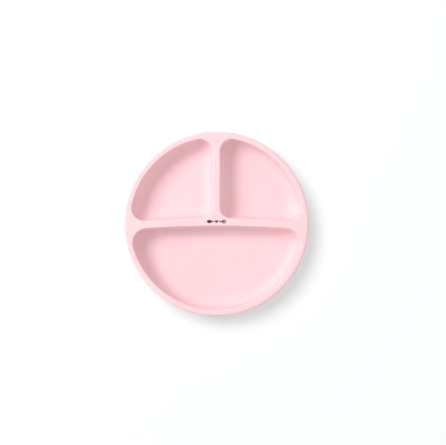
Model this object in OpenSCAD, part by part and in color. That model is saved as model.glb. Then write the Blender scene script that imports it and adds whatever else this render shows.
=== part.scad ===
// Divided suction plate for a small child: a soft silicone plate with three
// compartments on a large, low suction cup that grips the table. A tongue on
// the cup's lip lets the air back in, and a recess in the plate's front wall
// makes room for a fingertip above it.
//
// Millimetres. The origin is on the table under the middle of the plate.
// +Z is up, and +Y points to the two small compartments.

/* [Plate] */
// Outer diameter at the rim
plate_d = 185; // [180:1:195]
// Height of the rim above the table, with the cup relaxed
plate_h = 32; // [31.5:0.5:34]
// Width of the rim, from its outer edge to the compartments
rim_w = 5.5; // [5:0.5:7]
// Depth of the compartments
depth = 21; // [20:0.5:21.5]
// Thickness of the compartment floors
floor_t = 2.6; // [2.4:0.1:2.8]
// Lean of the outer wall, in degrees
outer_lean = 8; // [5:1:9]

/* [Compartments] */
// Width of the long divider between the upper and lower compartments
long_divider_w = 6.5; // [6:0.5:8]
// Width of the short divider between the two upper compartments
short_divider_w = 6.4; // [6:0.1:8]
// Distance of the long divider's crest from the middle of the plate
long_divider_y = 1.5; // [0:0.5:4]
// Radius of the long divider's gentle bow
bow_r = 980; // [700:20:1400]
// Slope of the compartment walls, in degrees from upright
wall_lean = 5; // [3:1:9]
// Radius between a compartment's walls and its floor
floor_fillet = 11; // [9:0.5:12]
// Rounding of the rim and the dividers
crest_round = 1.5; // [1:0.1:1.8]
// Corner radius where the two dividers meet
meeting_r = 10.5; // [9:0.5:13]
// Corner radius where the long divider meets the rim, upper compartments
upper_end_r = 13; // [10:0.5:15]
// Corner radius where the short divider meets the rim
short_end_r = 12.5; // [10:0.5:15]
// Corner radius where the long divider meets the rim, lower compartment
lower_end_r = 15; // [12:0.5:17]
// Corner radius at the level of the floors
floor_corner_r = 9; // [8:0.5:9]

/* [Suction cup] */
// Diameter of the lip that grips the table
lip_d = 112; // [108:1:114]
// Radius of the neck that presses into the plate
neck_r = 21.7; // [20:0.1:23]
// How far the plate comes down when it is pressed on to the table
press_travel = 2.5; // [2:0.1:2.6]

/* [Release tongue] */
// Width of the tongue
tongue_w = 24; // [20:1:26]
// Distance of the tongue's tip from the middle of the plate
tongue_reach = 86; // [82:1:88]
// Thickness of the tongue
tongue_t = 1.6; // [1.4:0.1:1.8]
// Slope of the finger recess's roof, in degrees
recess_slope = 18; // [16:1:18]

/* [Printed mark] */
// Length of the row of pictures printed on the long divider
mark_l = 19; // [17:1:22]
// Height of the spoon and the fork
mark_h = 3.4; // [3:0.1:4]

/* [Hidden] */
$fn = 180;

plate_r = plate_d / 2;
floor_z = plate_h - depth;
ceiling_z = floor_z - floor_t;
foot_gap = 1.5;
foot_z = press_travel + foot_gap;

// The compartments' edges lie where the crest's rounding turns downwards
crest_start = crest_round / 2;
wall_r = plate_r - rim_w;
bow_y = long_divider_y - bow_r;
crest_foot_z = plate_h - crest_round * (1 - sin(wall_lean));
fillet_top_z = floor_z + floor_fillet * (1 - sin(wall_lean));
wall_run = (crest_foot_z - fillet_top_z) * tan(wall_lean);
floor_inset = (crest_round + floor_fillet) * cos(wall_lean) - crest_start + wall_run;
crest_steps = 3;
fillet_steps = 7;
corner_steps = 7;
bow_steps = 8;
rim_steps = 20;
cutter_rise = 2;

// The plate's outside
outer_round = 2.2;
foot_round = 10;
outer_edge_r = plate_r - outer_round;
foot_centre_z = foot_z + foot_round;
lean_top_z = plate_h - outer_round * (1 + sin(outer_lean));
lean_foot_z = foot_centre_z - foot_round * sin(outer_lean);
foot_centre_r = outer_edge_r + outer_round * cos(outer_lean)
    - (lean_top_z - lean_foot_z) * tan(outer_lean) - foot_round * cos(outer_lean);
hollow_r = 68;
hollow_round = 2;
foot_chamfer = 0.6;

// The socket that takes the cup's neck
neck_gap = 0.3;
bore_r = neck_r + neck_gap;
bead_h = 0.9;
groove_z = ceiling_z - 1;
groove_depth = 0.9;
socket_z = ceiling_z - 2.3;
socket_wall = 4.3;

// The suction cup: its lip lies flat on the table, and its skirt rises inwards
lip_r = lip_d / 2;
lip_land = 4;
lip_in_r = lip_r - lip_land;
lip_t = 1.3;
lip_in_t = 1.7;
lip_bevel_w = 2;
lip_bevel_h = 0.8;
neck_l = 3.2;
skirt_t = 1.3;
skirt_top_z = ceiling_z - neck_l;
skirt_start_r = bore_r + socket_wall + 1;
dome_z = skirt_top_z - skirt_t;

// The release tongue and its finger recess
tongue_gap = 0.3;
tongue_z = 0.4;
tongue_tip_r = 9;
grip_r = 0.5;
grip_l = tongue_w / 2;
grip_count = 3;
grip_pitch = 3.5;
grip_start = 3;
recess_w = tongue_w + 8;
recess_round = 4;
recess_start_r = 62;
recess_start_z = 5;
recess_l = 60;

// The printed mark
ink_t = 0.15;
mark_rise = 0.75;
handle_w = 1;
handle_start = 2.5;
spoon_bowl_l = 5;
fork_head_l = 4.6;
fork_palm_l = 1.8;
tine_w = 0.8;
tine_count = 3;
heart_size = 0.105;
heart_steps = 48;

ROSE = [0.96, 0.74, 0.76];
INK = [0.30, 0.17, 0.13];

// ---- Outlines ----

// Points along an arc, without its last one
function arc_open(c, r, a0, a1, n) =
    [for (i = [0 : n - 1]) c + r * [cos(a0 + (a1 - a0) * i / n), sin(a0 + (a1 - a0) * i / n)]];

// Points along an arc, with both ends
function arc(c, r, a0, a1, n) = concat(arc_open(c, r, a0, a1, n), [c + r * [cos(a1), sin(a1)]]);

// Where circles of radius p about the origin and q about the bow's centre cross
function crossing(p, q) =
    let (y = (p * p + bow_y * bow_y - q * q) / (2 * bow_y))
    [sqrt(p * p - y * y), y];

// A corner's radius shrinks from its value at the crest to the one at the floor
function corner(r, d) =
    r + (floor_corner_r - r) * (d + crest_start) / (floor_inset + crest_start);

function heading(v) = atan2(v[1], v[0]);

// Outline of the right-hand upper compartment, moved inwards by d
function upper_outline(d) =
    let (
        x = short_divider_w / 2 + d,
        rim = wall_r - d,
        bow = bow_r + long_divider_w / 2 + d,
        ra = corner(meeting_r, d),
        rb = corner(upper_end_r, d),
        rc = corner(short_end_r, d),
        a = [x + ra, bow_y + sqrt(pow(bow + ra, 2) - pow(x + ra, 2))],
        b = crossing(rim - rb, bow + rb),
        c = [x + rc, sqrt(pow(rim - rc, 2) - pow(x + rc, 2))],
        centre = [0, bow_y]
    )
    concat(
        arc_open(a, ra, 180, 360 + heading(centre - a), corner_steps),
        arc_open(centre, bow, heading(a - centre), heading(b - centre), bow_steps),
        arc_open(b, rb, heading(centre - b), heading(b), corner_steps),
        arc_open([0, 0], rim, heading(b), heading(c), rim_steps),
        arc(c, rc, heading(c), 180, corner_steps)
    );

// Outline of the lower compartment, moved inwards by d
function lower_outline(d) =
    let (
        rim = wall_r - d,
        bow = bow_r - long_divider_w / 2 - d,
        r = corner(lower_end_r, d),
        right = crossing(rim - r, bow - r),
        left = [-right[0], right[1]],
        centre = [0, bow_y],
        out = heading(right),
        up = heading(right - centre)
    )
    concat(
        arc_open(right, r, out, up, corner_steps),
        arc_open(centre, bow, up, 180 - up, 2 * bow_steps),
        arc_open(left, r, 180 - up, 180 - out, corner_steps),
        arc_open([0, 0], rim, 180 - out, 360 + out, 2 * rim_steps)
    );

// How far the wall stands inwards, and its height, from the floor to above the crest
wall_steps = concat(
    [for (i = [0 : fillet_steps]) let (a = (90 - wall_lean) * i / fillet_steps)
        [floor_inset - floor_fillet * sin(a), floor_z + floor_fillet * (1 - cos(a))]],
    [for (i = [0 : crest_steps]) let (a = (90 - wall_lean) * (1 - i / crest_steps))
        [crest_round * sin(a) - crest_start, plate_h - crest_round * (1 - cos(a))]],
    [[-crest_start, plate_h + cutter_rise]]
);

// Point on the classic heart curve
function heart_point(a) = heart_size * [
    16 * pow(sin(a), 3),
    13 * cos(a) - 5 * cos(2 * a) - 2 * cos(3 * a) - cos(4 * a)
];

// ---- Shared shapes ----

// Closed solid through a stack of rings with equal counts of points, lowest first
module loft(rings) {
    n = len(rings[0]);
    last = (len(rings) - 1) * n;
    points = [for (ring = rings) each ring];
    low = [[for (i = [0 : n - 1]) i]];
    high = [[for (i = [n - 1 : -1 : 0]) last + i]];
    sides = [
        for (k = [0 : len(rings) - 2])
            for (i = [0 : n - 1])
                let (a = k * n + i, b = k * n + (i + 1) % n)
                    each [[a, a + n, b + n], [a, b + n, b]]
    ];
    polyhedron(points, concat(low, high, sides));
}

module upper_hollow() {
    loft([for (s = wall_steps) [for (p = upper_outline(s[0])) [p[0], p[1], s[1]]]]);
}

module lower_hollow() {
    loft([for (s = wall_steps) [for (p = lower_outline(s[0])) [p[0], p[1], s[1]]]]);
}

// ---- Sub-parts ----

// Half section of the plate without its compartments
module plate_section() {
    polygon(concat(
        [[0, plate_h], [0, ceiling_z], [bore_r, ceiling_z]],
        [[bore_r, groove_z + bead_h / 2]],
        [[bore_r + groove_depth, groove_z + bead_h / 4], [bore_r + groove_depth, groove_z - bead_h / 4]],
        [[bore_r, groove_z - bead_h / 2], [bore_r, socket_z]],
        [[bore_r + socket_wall, socket_z], [bore_r + socket_wall, ceiling_z]],
        arc([hollow_r - hollow_round, ceiling_z - hollow_round], hollow_round, 90, 0, 6),
        [[hollow_r, foot_z + foot_chamfer], [hollow_r + foot_chamfer, foot_z]],
        arc([foot_centre_r, foot_centre_z], foot_round, -90, -outer_lean, 10),
        arc([outer_edge_r, plate_h - outer_round], outer_round, -outer_lean, 90, 8)
    ));
}

// Sloping recess under the front wall, for a fingertip above the tongue
module finger_recess() {
    translate([0, -recess_start_r, recess_start_z])
        rotate([90 - recess_slope, 0, 0])
            linear_extrude(recess_l) {
                translate([-recess_w / 2, -recess_w])
                    square([recess_w, recess_w - recess_round]);
                translate([recess_round - recess_w / 2, -recess_w])
                    square([recess_w - 2 * recess_round, recess_w]);
                for (x = [-1, 1])
                    translate([x * (recess_w / 2 - recess_round), -recess_round])
                        circle(recess_round);
            }
}

module plate() {
    color(ROSE)
        difference() {
            rotate_extrude() plate_section();
            upper_hollow();
            mirror([1, 0, 0]) upper_hollow();
            lower_hollow();
            finger_recess();
        }
}

// One soft moulding: a neck with a bead, a thin skirt and a flat lip
module suction_cup() {
    color(ROSE)
        rotate_extrude()
            polygon([
                [0, dome_z],
                [skirt_start_r, dome_z],
                [lip_in_r - lip_bevel_w, lip_bevel_h],
                [lip_in_r, 0],
                [lip_r, 0],
                [lip_r, lip_t],
                [lip_in_r, lip_in_t],
                [skirt_start_r, skirt_top_z],
                [neck_r, skirt_top_z],
                [neck_r, groove_z - bead_h / 2],
                [neck_r + bead_h, groove_z - bead_h / 4],
                [neck_r + bead_h, groove_z + bead_h / 4],
                [neck_r, groove_z + bead_h / 2],
                [neck_r, ceiling_z],
                [0, ceiling_z]
            ]);
}

// Tongue on the cup's lip, with ribs for the fingertip
module release_tongue() {
    color(ROSE) {
        difference() {
            translate([0, 0, tongue_z])
                linear_extrude(tongue_t)
                    union() {
                        translate([-tongue_w / 2, tongue_tip_r - tongue_reach])
                            square([tongue_w, tongue_reach - tongue_tip_r - lip_r + lip_land]);
                        translate([tongue_tip_r - tongue_w / 2, -tongue_reach])
                            square([tongue_w - 2 * tongue_tip_r, tongue_tip_r]);
                        for (x = [-1, 1])
                            translate([x * (tongue_w / 2 - tongue_tip_r), tongue_tip_r - tongue_reach])
                                circle(tongue_tip_r);
                    }
            cylinder(h = plate_h, r = lip_r + tongue_gap);
        }
        for (i = [0 : grip_count - 1])
            translate([-grip_l / 2, grip_start + i * grip_pitch - tongue_reach, tongue_z + tongue_t])
                rotate([0, 90, 0])
                    cylinder(h = grip_l, r = grip_r, $fn = 32);
    }
}

// Bowl at the left end, and a handle towards the heart
module spoon_picture() {
    handle_l = mark_l / 2 - spoon_bowl_l / 2 - handle_start;
    translate([(spoon_bowl_l - mark_l) / 2, 0])
        scale([spoon_bowl_l / mark_h, 1])
            circle(d = mark_h);
    translate([-handle_start - handle_l, -handle_w / 2])
        square([handle_l, handle_w]);
}

module heart_picture() {
    polygon([for (i = [0 : heart_steps - 1]) heart_point(360 * i / heart_steps)]);
}

// Handle from the heart, and tines at the right end
module fork_picture() {
    head_x = mark_l / 2 - fork_head_l;
    tine_spread = mark_h - tine_w;
    translate([handle_start, -handle_w / 2])
        square([head_x - handle_start + fork_palm_l, handle_w]);
    translate([head_x, -mark_h / 2])
        square([fork_palm_l, mark_h]);
    for (i = [0 : tine_count - 1])
        translate([head_x, tine_spread * (i / (tine_count - 1) - 0.5) - tine_w / 2])
            square([fork_head_l, tine_w]);
}

// Spoon, heart and fork printed in ink along the long divider
module printed_mark() {
    color(INK)
        translate([0, long_divider_y + mark_rise, plate_h])
            linear_extrude(ink_t) {
                spoon_picture();
                heart_picture();
                fork_picture();
            }
}

plate();
printed_mark();
suction_cup();
release_tongue();
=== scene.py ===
"""A round, divided silicone suction plate for a child, seen from straight above on a white studio floor."""

import math

import bmesh
import bpy
import numpy as np
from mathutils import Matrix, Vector


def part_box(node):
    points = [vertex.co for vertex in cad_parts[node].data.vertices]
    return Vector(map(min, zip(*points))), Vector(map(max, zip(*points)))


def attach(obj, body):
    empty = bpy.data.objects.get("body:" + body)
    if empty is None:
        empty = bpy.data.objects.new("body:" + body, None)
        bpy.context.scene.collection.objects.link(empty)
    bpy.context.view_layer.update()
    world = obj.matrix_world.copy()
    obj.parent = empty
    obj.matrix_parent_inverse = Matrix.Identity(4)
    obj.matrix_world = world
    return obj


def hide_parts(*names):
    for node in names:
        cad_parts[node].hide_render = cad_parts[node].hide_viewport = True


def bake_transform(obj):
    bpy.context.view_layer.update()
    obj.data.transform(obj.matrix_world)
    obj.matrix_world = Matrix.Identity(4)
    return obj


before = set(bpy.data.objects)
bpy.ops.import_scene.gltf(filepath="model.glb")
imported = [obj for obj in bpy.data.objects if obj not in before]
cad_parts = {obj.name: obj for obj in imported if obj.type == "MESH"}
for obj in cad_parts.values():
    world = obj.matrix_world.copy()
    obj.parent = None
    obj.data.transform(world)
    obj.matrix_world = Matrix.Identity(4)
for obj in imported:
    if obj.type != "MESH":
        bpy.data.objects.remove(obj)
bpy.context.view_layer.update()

MM = 0.001

# ---------------------------------------------------------------- sizes, in mm

plate_low, plate_high = (np.array(c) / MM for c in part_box("plate"))
_, cup_high = (np.array(c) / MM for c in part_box("suction_cup"))
tongue_low, tongue_high = (np.array(c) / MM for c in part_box("release_tongue"))
mark_low, mark_high = (np.array(c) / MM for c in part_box("printed_mark"))

# The plate
plate_r = round(plate_high[0] * 2) / 2
plate_h = plate_high[2]
foot_z = plate_low[2]
depth = 21.0
floor_t = 2.6
floor_z = plate_h - depth
ceiling_z = floor_z - floor_t
rim_w = 5.5

# Dividers and compartment corners
long_divider_w = 6.5
short_divider_w = 6.4
long_divider_y = 1.5
bow_r = 980.0
bow_centre = np.array([0.0, long_divider_y - bow_r])
meeting_r = 10.5
upper_end_r = 13.0
short_end_r = 12.5
lower_end_r = 15.0
floor_corner_r = 9.0

# Walls of the compartments
wall_lean = math.radians(5)
floor_fillet = 11.0
crest_round = 1.5
crest_start = crest_round / 2
wall_r = plate_r - rim_w
crest_foot_z = plate_h - crest_round * (1 - math.sin(wall_lean))
fillet_top_z = floor_z + floor_fillet * (1 - math.sin(wall_lean))
wall_run = (crest_foot_z - fillet_top_z) * math.tan(wall_lean)
floor_inset = (crest_round + floor_fillet) * math.cos(wall_lean) - crest_start + wall_run

# Outside and underside
outer_lean = math.radians(8)
outer_round = 2.2
outer_edge_r = plate_r - outer_round
foot_round = 10.0
foot_centre_z = foot_z + foot_round
lean_top_z = plate_h - outer_round * (1 + math.sin(outer_lean))
lean_foot_z = foot_centre_z - foot_round * math.sin(outer_lean)
foot_centre_r = (
    outer_edge_r
    + (outer_round - foot_round) * math.cos(outer_lean)
    - (lean_top_z - lean_foot_z) * math.tan(outer_lean)
)
hollow_r = 68.0
hollow_round = 2.0
foot_chamfer = 0.6
bore_r = 22.0
socket_wall = 4.3
socket_z = ceiling_z - 2.3
socket_ease = 0.3
socket_round = 0.5
socket_root = 0.8
groove_z = ceiling_z - 1.0
bead_h = 0.9
parting_z = plate_h - 3.6
parting_half_w = 0.3
parting_depth = 0.12

# Finger recess under the front wall
recess_half_w = 16.0
recess_round = 4.0
recess_start_r = 62.0
recess_start_z = 5.0
recess_slope = math.tan(math.radians(18))
recess_side = 8.0
recess_blend = 1.4
recess_lip_round = 1.2
recess_lip_reach = 6.0
recess_lip_fade = 3.0

# Suction cup
cup_r = cup_high[0]
neck_r = 21.7
neck_top_z = ceiling_z - 0.05
neck_ease = 0.3
neck_root = 0.8
bead_r = neck_r + bead_h - 0.1
skirt_start_r = bore_r + socket_wall + 1.0
skirt_top_z = cup_high[2] - 3.2
dome_z = skirt_top_z - 1.3
dome_fullness = 0.85
lip_land = 4.0
lip_in = cup_r - lip_land
lip_top_in = lip_in + 2.6
lip_t = 1.3
lip_edge_r = 0.55
land_h = 0.12
land_count = 3

# Release tongue
tongue_half_w = tongue_high[0]
tongue_tip_y = tongue_low[1]
tongue_low_z = tongue_low[2]
tongue_t = 1.6
tongue_tip_r = 9.0
tongue_edge_r = 0.6
tongue_end_round = 0.8
tongue_root_y = -(cup_r - 1.6)
# Towards the lip the tongue gets thinner by this share, over this length, and lies a little lower
root_thinning = 0.2
thin_run = 18.0
root_drop = 0.3
grip_h = tongue_high[2] - tongue_low_z - tongue_t
grip_pitch = 3.5
grip_start = 3.0
grip_count = 3
grip_half_w = 0.55 * tongue_half_w
grip_fade = 1.2
rib_half_w = 0.55

# Printed mark
mark_half_h = (mark_high[1] - mark_low[1]) / 2
handle_w = 1.0
handle_start = 2.5
spoon_bowl_l = 5.0
spoon_taper = 0.12
spoon_neck = 0.8
heart_size = 0.105
fork_head_l = 4.6
slot_l = 2.6
tine_w = 0.8
tine_count = 3
ink_sunk = 0.02
ink_t = 0.06

# How finely the surfaces are divided
corner_steps = 22
bow_steps = 40
rim_steps = 90
crest_steps = 8
fillet_steps = 18
wall_rows = 6
cup_steps = 26
cup_columns = 288
# The first ring round the middle of a flat face, and the narrow strips that keep flat faces flat at an edge
hub_r = 2.0
edge_gap = 0.5
support = 0.25


# ---------------------------------------------------------------- outlines and profiles

def heading(v):
    return math.atan2(v[1], v[0])


def arc(centre, radius, start, end, count, last=False):
    """Points along an arc. Its end is left to the next stretch, unless last is set."""
    a = start + (end - start) * np.arange(count + last) / count
    return np.column_stack([centre[0] + radius * np.cos(a), centre[1] + radius * np.sin(a)])


def line(start, end, count, last=False):
    t = (np.arange(count + last) / count)[:, None]
    return np.array(start) * (1 - t) + np.array(end) * t


def crossing(p, q):
    """Where circles of radius p about the origin and q about the bow's centre cross, on the right."""
    cy = bow_centre[1]
    y = (p * p + cy * cy - q * q) / (2 * cy)
    return np.array([math.sqrt(p * p - y * y), y])


def corner(r, d):
    """A corner's radius goes evenly from its value at the crest to the one at the floor."""
    return r + (floor_corner_r - r) * (d + crest_start) / (floor_inset + crest_start)


def upper_outline(d):
    """Outline of the right-hand upper compartment, moved inwards by d, anticlockwise."""
    x = short_divider_w / 2 + d
    rim = wall_r - d
    bow = bow_r + long_divider_w / 2 + d
    ra, rb, rc = (corner(r, d) for r in (meeting_r, upper_end_r, short_end_r))
    a = np.array([x + ra, bow_centre[1] + math.sqrt((bow + ra) ** 2 - (x + ra) ** 2)])
    b = crossing(rim - rb, bow + rb)
    c = np.array([x + rc, math.sqrt((rim - rc) ** 2 - (x + rc) ** 2)])
    low = heading(bow_centre - a)
    return np.vstack([
        arc(a, ra, math.pi, 2 * math.pi + low, corner_steps),
        arc(bow_centre, bow, heading(a - bow_centre), heading(b - bow_centre), bow_steps),
        arc(b, rb, heading(bow_centre - b), heading(b), corner_steps),
        arc((0, 0), rim, heading(b), heading(c), rim_steps),
        arc(c, rc, heading(c), math.pi, corner_steps),
        line((x, c[1]), (x, a[1]), bow_steps),
    ])


def upper_left_outline(d):
    return (upper_outline(d) * [-1, 1])[::-1]


def lower_outline(d):
    """Outline of the lower compartment, moved inwards by d, anticlockwise."""
    rim = wall_r - d
    bow = bow_r - long_divider_w / 2 - d
    r = corner(lower_end_r, d)
    right = crossing(rim - r, bow - r)
    left = right * [-1, 1]
    out, up = heading(right), heading(right - bow_centre)
    return np.vstack([
        arc(right, r, out, up, corner_steps),
        arc(bow_centre, bow, up, math.pi - up, 2 * bow_steps),
        arc(left, r, math.pi - up, math.pi - out, corner_steps),
        arc((0, 0), rim, math.pi - out, 2 * math.pi + out, 2 * rim_steps),
    ])


def wall_steps():
    """[inset, height] down a compartment's wall, from the flat crest to the flat floor."""
    upright = math.pi / 2 - wall_lean
    crest = [
        (crest_round * math.sin(a) - crest_start, plate_h - crest_round * (1 - math.cos(a)))
        for a in np.linspace(0, upright, crest_steps + 1)
    ]
    fillet = [
        (floor_inset - floor_fillet * math.sin(a), floor_z + floor_fillet * (1 - math.cos(a)))
        for a in np.linspace(upright, 0, fillet_steps + 1)
    ]
    wall = line(crest[-1], fillet[0], wall_rows)[1:]
    return [(-crest_start - support, plate_h), *crest, *wall, *fillet, (floor_inset + support, floor_z)]


# ---------------------------------------------------------------- mesh helpers

class Surface:
    """Points and faces of one piece, gathered ring by ring, in mm."""

    def __init__(self):
        self.points = []
        self.faces = []

    def ring(self, xyz):
        first = len(self.points)
        self.points.extend(np.asarray(xyz, float))
        return list(range(first, len(self.points)))

    def strip(self, a, b, closed=True):
        """Quads between two rings. Seen from outside, b lies above a and both run to the right."""
        count = len(a) if closed else len(a) - 1
        for i in range(count):
            j = (i + 1) % len(a)
            self.faces.append((a[i], a[j], b[j], b[i]))

    def stack(self, rings, flip=False):
        """Strips through a list of closed rings, and the rings' indices."""
        made = [self.ring(r) for r in rings]
        for a, b in zip(made, made[1:]):
            self.strip(*((b, a) if flip else (a, b)))
        return made

    def fan(self, ring, centre, flip=False):
        hub = self.ring([centre])[0]
        for i in range(len(ring)):
            pair = (ring[i], ring[(i + 1) % len(ring)])
            self.faces.append((*(pair[::-1] if flip else pair), hub))

    def build(self, name, fills=(), merge=0.0):
        """The finished object. Each of fills is a list of closed rings that bound one flat area."""
        mesh = bpy.data.meshes.new(name)
        mesh.from_pydata([tuple(p * MM) for p in self.points], [], self.faces)
        bm = bmesh.new()
        bm.from_mesh(mesh)
        bm.verts.ensure_lookup_table()
        for rings in fills:
            edges = []
            for ring in rings:
                for i, j in zip(ring, ring[1:] + ring[:1]):
                    pair = (bm.verts[i], bm.verts[j])
                    edges.append(bm.edges.get(pair) or bm.edges.new(pair))
            bmesh.ops.triangle_fill(bm, use_beauty=True, use_dissolve=False, edges=edges)
        if merge:
            bmesh.ops.remove_doubles(bm, verts=bm.verts, dist=merge * MM)
            bmesh.ops.dissolve_degenerate(bm, edges=bm.edges, dist=merge * MM / 2)
        bmesh.ops.recalc_face_normals(bm, faces=bm.faces)
        for face in bm.faces:
            face.smooth = True
        bm.to_mesh(mesh)
        bm.free()
        obj = bpy.data.objects.new(name, mesh)
        bpy.context.scene.collection.objects.link(obj)
        return obj


def at_height(xy, z):
    return np.column_stack([xy, np.full(len(xy), z)])


def lathe_rings(profile, angles):
    """One ring for each (radius, height) of a profile."""
    circle = np.column_stack([np.cos(angles), np.sin(angles)])
    return [at_height(circle * r, z) for r, z in profile]


# ---------------------------------------------------------------- the plate

def shell_angles():
    """Columns round the plate, closer together where the finger recess cuts the wall."""
    fine = math.radians(15)
    front = np.linspace(-math.pi / 2 - fine, -math.pi / 2 + fine, 150, endpoint=False)
    rest = np.linspace(-math.pi / 2 + fine, 1.5 * math.pi - fine, 380, endpoint=False)
    return np.concatenate([front, rest])


def wall_radius(z):
    """Radius of the leaning outer wall at a height."""
    return outer_edge_r + outer_round * math.cos(outer_lean) - (lean_top_z - z) * math.tan(outer_lean)


def shell_profile():
    """(radius, height) from the middle of the underside, round the outside, to the flat crest."""
    groove = [
        (bore_r, groove_z + bead_h / 2),
        (bore_r + bead_h, groove_z + bead_h / 4),
        (bore_r + bead_h, groove_z - bead_h / 4),
        (bore_r, groove_z - bead_h / 2),
    ]
    socket_out = bore_r + socket_wall
    socket_foot = socket_z + socket_round
    root = (socket_out + socket_root, ceiling_z - socket_root)
    shoulder = (hollow_r - hollow_round, ceiling_z - hollow_round)
    chamfer = (hollow_r + foot_chamfer, foot_z + foot_chamfer)
    parts = [
        [(hub_r, ceiling_z)],
        line((2 * hub_r, ceiling_z), (bore_r - socket_ease, ceiling_z), 4, True),
        [(bore_r, ceiling_z - socket_ease)],
        groove,
        arc((bore_r + socket_round, socket_foot), socket_round, math.pi, 1.5 * math.pi, 4, True),
        arc((socket_out - socket_round, socket_foot), socket_round, -math.pi / 2, 0, 4, True),
        arc(root, socket_root, math.pi, math.pi / 2, 4, True),
        line((root[0] + edge_gap, ceiling_z), (shoulder[0] - edge_gap, ceiling_z), 24, True),
        arc(shoulder, hollow_round, math.pi / 2, 0, 8, True),
        line((hollow_r, shoulder[1] - edge_gap), (hollow_r, chamfer[1] + edge_gap), 3, True),
        arc(chamfer, foot_chamfer, math.pi, 1.5 * math.pi, 5, True),
        line((chamfer[0] + edge_gap, foot_z), (foot_centre_r - edge_gap, foot_z), 16, True),
        arc((foot_centre_r, foot_centre_z), foot_round, -math.pi / 2, -outer_lean, 26, True),
    ]
    parting = [(-parting_half_w, 0), (0, parting_depth), (parting_half_w, 0)]
    heights = np.linspace(lean_foot_z, parting_z - 1, 22)[1:]
    wall = [(wall_radius(z), z) for z in heights]
    wall += [(wall_radius(parting_z + up) - inwards, parting_z + up) for up, inwards in parting]
    crown = arc((outer_edge_r, plate_h - outer_round), outer_round, -outer_lean, math.pi / 2, 12, True)
    parts += [wall, crown, [(outer_edge_r - support, plate_h)]]
    return np.vstack([np.asarray(p, float).reshape(-1, 2) for p in parts])


def recess_roof(points):
    """Height of the finger recess's roof over each point, and far below the plate beside it."""
    x, front = np.abs(points[:, 0]), -points[:, 1]
    steep = recess_round * recess_side / math.hypot(recess_side, 1)
    t = np.clip(x - (recess_half_w - recess_round), 0, None)
    curved = recess_round - np.sqrt(recess_round**2 - np.minimum(t, steep) ** 2)
    drop = curved + recess_side * np.clip(t - steep, 0, None)
    return recess_start_z + (front - recess_start_r) * recess_slope - drop


def cut_recess(points):
    """Raises the underside to the recess's roof, with a soft edge, and rounds the roof's outer lip."""
    p = points.copy()
    roof = recess_roof(p)
    near = (p[:, 1] < 0) & (p[:, 2] < fillet_top_z)
    apart = np.clip(recess_blend - np.abs(p[:, 2] - roof), 0, None) / recess_blend
    raised = np.maximum(p[:, 2], roof) + apart**2 * recess_blend / 4
    p[:, 2] = np.where(near, raised, p[:, 2])
    radius = np.hypot(p[:, 0], p[:, 1])
    above = np.clip(p[:, 2] - roof, 0, recess_lip_round)
    inwards = recess_lip_round - np.sqrt(recess_lip_round**2 - (recess_lip_round - above) ** 2)
    outer = np.clip((radius - plate_r + recess_lip_reach) / recess_lip_fade, 0, 1) * near
    p[:, :2] *= (1 - inwards * outer / np.maximum(radius, 1))[:, None]
    return p


def make_plate():
    s = Surface()
    shell = s.stack([cut_recess(r) for r in lathe_rings(shell_profile(), shell_angles())])
    s.fan(shell[0], (0, 0, ceiling_z), flip=True)
    crest = [shell[-1]]
    floors = []
    for outline in (upper_outline, upper_left_outline, lower_outline):
        wall = s.stack([at_height(outline(d), z) for d, z in wall_steps()], flip=True)
        crest.append(wall[0])
        floors.append([wall[-1]])
    return s.build("divided_plate", fills=[crest, *floors], merge=0.01)


# ---------------------------------------------------------------- the suction cup

def make_cup():
    """A neck with a bead, a thin skirt, and a lip with fine sealing lands under it."""
    lands = [
        (lip_in + lip_land * t, land_h * (0.5 - 0.5 * math.cos(2 * land_count * math.pi * t)))
        for t in np.linspace(0, 0.85, cup_steps)
    ]
    skirt = [
        (
            skirt_start_r + (lip_in - skirt_start_r) * t,
            dome_z * (0.5 + 0.5 * math.cos(math.pi * t)) ** dome_fullness,
        )
        for t in np.linspace(0, 0.985, cup_steps)
    ]
    edge = arc((cup_r - lip_edge_r, lip_edge_r), lip_edge_r, -math.pi / 2, math.pi / 2, 10, True)
    top = [
        (
            lip_top_in + (skirt_start_r - lip_top_in) * t,
            lip_t + (skirt_top_z - lip_t) * (t * t * (3 - 2 * t)),
        )
        for t in np.linspace(0, 1, cup_steps)
    ]
    neck = [
        (neck_r + neck_root, skirt_top_z),
        (neck_r + neck_root / 4, skirt_top_z + neck_root / 4),
        (neck_r, skirt_top_z + neck_root),
        (neck_r, groove_z - bead_h / 2),
        (bead_r, groove_z - bead_h / 4),
        (bead_r, groove_z + bead_h / 4),
        (neck_r, groove_z + bead_h / 2),
        (neck_r, neck_top_z - neck_ease),
        (neck_r - neck_ease, neck_top_z),
        (hub_r, neck_top_z),
    ]
    under = [(hub_r, dome_z), *line((2 * hub_r, dome_z), (skirt_start_r - 1, dome_z), 6)]
    profile = np.array([*under, *skirt, *lands, *edge, *top, *neck])
    s = Surface()
    rings = s.stack(lathe_rings(profile, np.linspace(0, 2 * math.pi, cup_columns, endpoint=False)))
    s.fan(rings[0], (0, 0, dome_z), flip=True)
    s.fan(rings[-1], (0, 0, neck_top_z))
    return s.build("soft_suction_cup")


# ---------------------------------------------------------------- the release tongue

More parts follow.
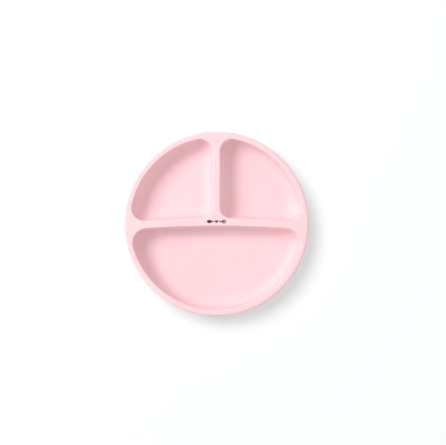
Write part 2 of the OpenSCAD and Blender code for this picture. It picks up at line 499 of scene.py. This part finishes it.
def tongue_section(y):
    """The closed cross-section [x, z] at y, with soft edges, and ribs in the middle of the top."""
    beyond = max(0.0, tongue_tip_y + tongue_tip_r - y)
    half_w = tongue_half_w - tongue_tip_r + math.sqrt(max(tongue_tip_r**2 - beyond**2, 0.0))
    thin = 1 - root_thinning * min(1.0, max(0.0, (y + cup_r + thin_run) / thin_run))
    near_end = max(0.0, tongue_tip_y + tongue_end_round - y) / tongue_end_round
    least = 0.05
    t = tongue_t * thin * math.sqrt(max(1 - near_end**2, least**2))
    middle = tongue_low_z + tongue_t / 2 - (1 - thin) * root_drop
    r = min(t / 2, tongue_edge_r)
    a = np.linspace(-math.pi / 2, math.pi / 2, 9)
    flank = np.sin(a) * r + np.sign(np.sin(a)) * (t / 2 - r)
    right = np.column_stack([half_w - r + r * np.cos(a), flank])
    across = np.linspace(half_w - r, r - half_w, 25)[1:-1]
    ribs = [tongue_tip_y + grip_start + i * grip_pitch for i in range(grip_count)]
    rise = sum(math.exp(-(((y - rib) / rib_half_w) ** 2)) for rib in ribs) * grip_h
    window = np.clip((grip_half_w - np.abs(across)) / grip_fade, 0, 1)
    top = np.column_stack([across, t / 2 + rise * window * window * (3 - 2 * window)])
    under = np.column_stack([across, np.full(len(across), -t / 2)])
    loop = np.vstack([right, top, right[::-1] * [-1, 1], under[::-1]])
    return loop + [0, middle]


def make_tongue():
    """A flat tongue with a round tip, which bends where it meets the lip."""
    body = np.arange(tongue_root_y, tongue_tip_y + 14, -0.8)
    tip = np.arange(body[-1], tongue_tip_y + tongue_end_round, -0.2)[1:]
    end = tongue_tip_y + tongue_end_round * (1 - np.sin(np.linspace(0.02, 1, 9) * math.pi / 2))
    rings = []
    for y in [*body, *tip, *end]:
        section = tongue_section(y)
        rings.append(np.column_stack([section[:, 0], np.full(len(section), y), section[:, 1]]))
    s = Surface()
    made = s.stack(rings)
    s.fan(made[0], rings[0].mean(0))
    s.fan(made[-1], rings[-1].mean(0), flip=True)
    return s.build("grip_tongue")


# ---------------------------------------------------------------- the printed mark

def prism(name, outlines, low, high):
    """Flat-topped ink, a hair thick, with one closed outline for each separate picture."""
    s = Surface()
    fills = []
    for outline in outlines:
        low_ring, high_ring = s.stack([at_height(outline, low), at_height(outline, high)])
        fills += [[low_ring], [high_ring]]
    obj = s.build(name, fills=fills)
    for polygon in obj.data.polygons:
        polygon.use_smooth = False
    return obj


def spoon_outline():
    """Lies along X with its bowl at the left. The handle is slimmer where it leaves the bowl."""
    left, end = mark_low[0], -handle_start
    u = left + (end - left) * (0.5 - 0.5 * np.cos(np.linspace(0, math.pi, 90)))
    t = np.clip((u - left) / spoon_bowl_l, 0, 1)
    bowl = mark_half_h * np.sqrt(np.clip(1 - (2 * t - 1) ** 2, 0, 1)) * (1 - spoon_taper * t)
    past_bowl = np.clip((u - left - spoon_bowl_l) / 2, 0, 1)
    handle = handle_w / 2 * (spoon_neck + (1 - spoon_neck) * past_bowl)
    cap = np.sqrt(np.clip(1 - np.clip((u - end) / handle_w * 2 + 1, 0, 1) ** 2, 0, 1))
    half = np.maximum(bowl, np.where(u > left + spoon_bowl_l / 2, handle, 0)) * cap
    upper = np.column_stack([u, half])
    lower = np.column_stack([u, -half])
    return np.vstack([lower, upper[::-1][1:-1]])


def heart_outline():
    """The usual heart curve, which is 32 units wide before it is scaled."""
    a = np.linspace(0, 2 * math.pi, 64, endpoint=False)
    x = 16 * np.sin(a) ** 3
    y = 13 * np.cos(a) - 5 * np.cos(2 * a) - 2 * np.cos(3 * a) - np.cos(4 * a)
    return np.column_stack([x, y])[::-1] * heart_size


def fork_outline():
    """Lies along X with its three tines at the right."""
    right = mark_high[0]
    head = right - fork_head_l
    half = mark_half_h
    gap = (2 * half - tine_count * tine_w) / (tine_count - 1)
    shoulder = half - handle_w / 2
    side = [(handle_start + handle_w / 2, -handle_w / 2)]
    side += list(map(tuple, arc((head, -half), shoulder, math.pi / 2, 0, 10, True)))
    points = [*side]
    for k in range(tine_count):
        middle = -half + tine_w / 2 + k * (tine_w + gap)
        tip = arc((right - tine_w / 2, middle), tine_w / 2, -math.pi / 2, math.pi / 2, 8, True)
        points += list(map(tuple, tip))
        if k < tine_count - 1:
            between = middle + (tine_w + gap) / 2
            slot = arc((right - slot_l, between), gap / 2, math.pi / 2, 1.5 * math.pi, 8, True)[::-1]
            points += list(map(tuple, slot))
    points += [(x, -y) for x, y in reversed(side)]
    end = arc((handle_start + handle_w / 2, 0), handle_w / 2, math.pi / 2, 1.5 * math.pi, 8, True)
    points += list(map(tuple, end))[1:-1]
    return np.array(points)


def make_mark():
    place = [0, (mark_low[1] + mark_high[1]) / 2]
    outlines = [o + place for o in (spoon_outline(), heart_outline(), fork_outline())]
    return prism("printed_spoon_and_fork", outlines, plate_h - ink_sunk, plate_h + ink_t)


# ---------------------------------------------------------------- materials

def new_material(name):
    material = bpy.data.materials.new(name)
    material.use_nodes = True
    nodes, links = material.node_tree.nodes, material.node_tree.links
    return material, nodes, links, nodes["Principled BSDF"]


def noise(nodes, links, place, scale, detail=3.0, rough=0.5):
    n = nodes.new("ShaderNodeTexNoise")
    n.inputs["Scale"].default_value = scale
    n.inputs["Detail"].default_value = detail
    n.inputs["Roughness"].default_value = rough
    links.new(place, n.inputs["Vector"])
    return n.outputs["Fac"]


def ramp(nodes, links, fac, stops):
    """A colour ramp through (position, colour) stops."""
    r = nodes.new("ShaderNodeValToRGB")
    r.color_ramp.elements[0].position = stops[0][0]
    r.color_ramp.elements[0].color = (*stops[0][1], 1)
    r.color_ramp.elements[1].position = stops[-1][0]
    r.color_ramp.elements[1].color = (*stops[-1][1], 1)
    for position, colour in stops[1:-1]:
        r.color_ramp.elements.new(position).color = (*colour, 1)
    links.new(fac, r.inputs["Fac"])
    return r.outputs["Color"]


def to_range(nodes, links, fac, low, high):
    m = nodes.new("ShaderNodeMapRange")
    m.inputs["To Min"].default_value = low
    m.inputs["To Max"].default_value = high
    links.new(fac, m.inputs["Value"])
    return m.outputs["Result"]


def add_bump(nodes, links, height, distance, strength, before=None):
    b = nodes.new("ShaderNodeBump")
    b.inputs["Distance"].default_value = distance
    b.inputs["Strength"].default_value = strength
    links.new(height, b.inputs["Height"])
    if before is not None:
        links.new(before, b.inputs["Normal"])
    return b.outputs["Normal"]


def silicone(name, colour, rough):
    """Matte moulded silicone: a fine grain, faint pigment clouds, and light that sinks in a little."""
    material, nodes, links, shader = new_material(name)
    place = nodes.new("ShaderNodeTexCoord").outputs["Object"]
    clouds = noise(nodes, links, place, scale=22, detail=4, rough=0.55)
    grain = noise(nodes, links, place, scale=2600, detail=2, rough=0.6)
    pores = noise(nodes, links, place, scale=700, detail=3, rough=0.5)
    base = np.array(colour)
    tint = ramp(nodes, links, clouds, [(0.3, base * 0.975), (0.7, np.minimum(base * 1.02, 1))])
    links.new(tint, shader.inputs["Base Color"])
    links.new(to_range(nodes, links, pores, rough - 0.05, rough + 0.07), shader.inputs["Roughness"])
    soft = add_bump(nodes, links, pores, distance=0.00012, strength=0.25)
    fine = add_bump(nodes, links, grain, distance=0.00006, strength=0.35, before=soft)
    links.new(fine, shader.inputs["Normal"])
    shader.inputs["IOR"].default_value = 1.41
    shader.inputs["Specular IOR Level"].default_value = 0.2
    shader.inputs["Subsurface Weight"].default_value = 0.3
    shader.inputs["Subsurface Radius"].default_value = (1.0, 0.45, 0.42)
    shader.inputs["Subsurface Scale"].default_value = 0.0024
    shader.inputs["Sheen Weight"].default_value = 0.12
    shader.inputs["Sheen Roughness"].default_value = 0.45
    return material


def ink(name, colour):
    """Screen-printed ink: nearly flat, with a slightly uneven film."""
    material, nodes, links, shader = new_material(name)
    place = nodes.new("ShaderNodeTexCoord").outputs["Object"]
    film = noise(nodes, links, place, scale=1800, detail=3, rough=0.6)
    base = np.array(colour)
    tint = ramp(nodes, links, film, [(0.3, base * 0.85), (0.7, base * 1.2)])
    links.new(tint, shader.inputs["Base Color"])
    links.new(to_range(nodes, links, film, 0.45, 0.62), shader.inputs["Roughness"])
    links.new(add_bump(nodes, links, film, distance=0.00002, strength=0.4), shader.inputs["Normal"])
    return material


def studio_floor(name, dark, light, glow):
    """Seamless white paper with the faintest tooth, lifted by a little light of its own."""
    material, nodes, links, shader = new_material(name)
    place = nodes.new("ShaderNodeTexCoord").outputs["Object"]
    tooth = noise(nodes, links, place, scale=900, detail=3, rough=0.6)
    links.new(ramp(nodes, links, tooth, [(0.2, dark), (0.8, light)]), shader.inputs["Base Color"])
    links.new(to_range(nodes, links, tooth, 0.85, 0.95), shader.inputs["Roughness"])
    shader.inputs["Specular IOR Level"].default_value = 0.1
    shader.inputs["Emission Color"].default_value = (1, 1, 1, 1)
    shader.inputs["Emission Strength"].default_value = glow
    return material


# ---------------------------------------------------------------- the object

PLATE_PINK = (0.945, 0.658, 0.694)
CUP_PINK = (0.91, 0.630, 0.665)
INK_BROWN = (0.055, 0.022, 0.016)
PAPER_DARK = (0.705, 0.745, 0.74)
PAPER_LIGHT = (0.725, 0.765, 0.76)
PAPER_GLOW = 0.25

plate = make_plate()
plate.data.materials.append(silicone("plate_silicone", PLATE_PINK, 0.52))
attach(plate, "plate")
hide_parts("plate")

# The lip stays on the table, the neck reaches up under the plate, and the skirt spans between them.
cup = make_cup()
cup.data.materials.append(silicone("cup_silicone", CUP_PINK, 0.42))
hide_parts("suction_cup")
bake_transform(cup)

tongue = make_tongue()
tongue.data.materials.append(cup.data.materials[0])
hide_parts("release_tongue")
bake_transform(tongue)

mark = make_mark()
mark.data.materials.append(ink("mark_ink", INK_BROWN))
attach(mark, "plate")
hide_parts("printed_mark")

# ---------------------------------------------------------------- floor, light and camera

floor_size = 12.0
floor_gap = 0.0001
bpy.ops.mesh.primitive_plane_add(size=floor_size, location=(0, 0, -floor_gap))
floor = bpy.context.object
floor.name = "studio_floor"
floor.data.materials.append(studio_floor("studio_floor", PAPER_DARK, PAPER_LIGHT, PAPER_GLOW))


def softbox(name, toward, elevation, distance, size, power):
    """A square softbox. toward is its bearing from the plate, anticlockwise from +X, in degrees."""
    lamp = bpy.data.lights.new(name, "AREA")
    lamp.shape = "SQUARE"
    lamp.size = size
    lamp.energy = power
    a, e = math.radians(toward), math.radians(elevation)
    way = Vector((math.cos(a) * math.cos(e), math.sin(a) * math.cos(e), math.sin(e)))
    obj = bpy.data.objects.new(name, lamp)
    obj.location = way * distance
    obj.rotation_euler = way.to_track_quat("Z", "Y").to_euler()
    bpy.context.scene.collection.objects.link(obj)
    return obj


def light_only(lamp, obj, state):
    """Links a lamp to one object, or to everything else."""
    group = bpy.data.collections.new(lamp.name + "_" + state.lower())
    group.objects.link(obj)
    group.collection_objects[0].light_linking.link_state = state
    lamp.light_linking.receiver_collection = group


# The key comes from the upper left, a card at the right opens up its shadows, and a broad softbox overhead
# evens out the floors. The paper has a higher softbox of its own, so the plate's shadow on it is short and
# soft.
key = softbox("key_softbox", toward=154, elevation=45, distance=1.5, size=0.65, power=14.9)
fill = softbox("fill_card", toward=10, elevation=35, distance=2.0, size=1.2, power=1.8)
top = softbox("top_softbox", toward=0, elevation=90, distance=2.5, size=2.0, power=4.4)
paper = softbox("paper_softbox", toward=139, elevation=61.5, distance=3.0, size=1.4, power=50.0)
for lamp in (key, fill, top):
    light_only(lamp, floor, "EXCLUDE")
light_only(paper, floor, "INCLUDE")

world = bpy.data.worlds.new("studio")
world.use_nodes = True
background = world.node_tree.nodes["Background"]
background.inputs["Color"].default_value = (1.0, 1.0, 1.0, 1)
background.inputs["Strength"].default_value = 0.59
bpy.context.scene.world = world

bpy.context.scene.view_settings.view_transform = "Standard"

# The camera looks straight down, and the plate sits a little to the left of the middle of the frame
camera_distance = 1.2
camera_x = 0.00655
camera_y = 0.0012
view_width = 0.4461
camera = bpy.data.cameras.new("camera")
camera.sensor_width = 36
camera.lens = camera.sensor_width * camera_distance / view_width
camera_object = bpy.data.objects.new("camera", camera)
camera_object.location = (camera_x, camera_y, plate_h * MM + camera_distance)
bpy.context.scene.collection.objects.link(camera_object)
bpy.context.scene.camera = camera_object
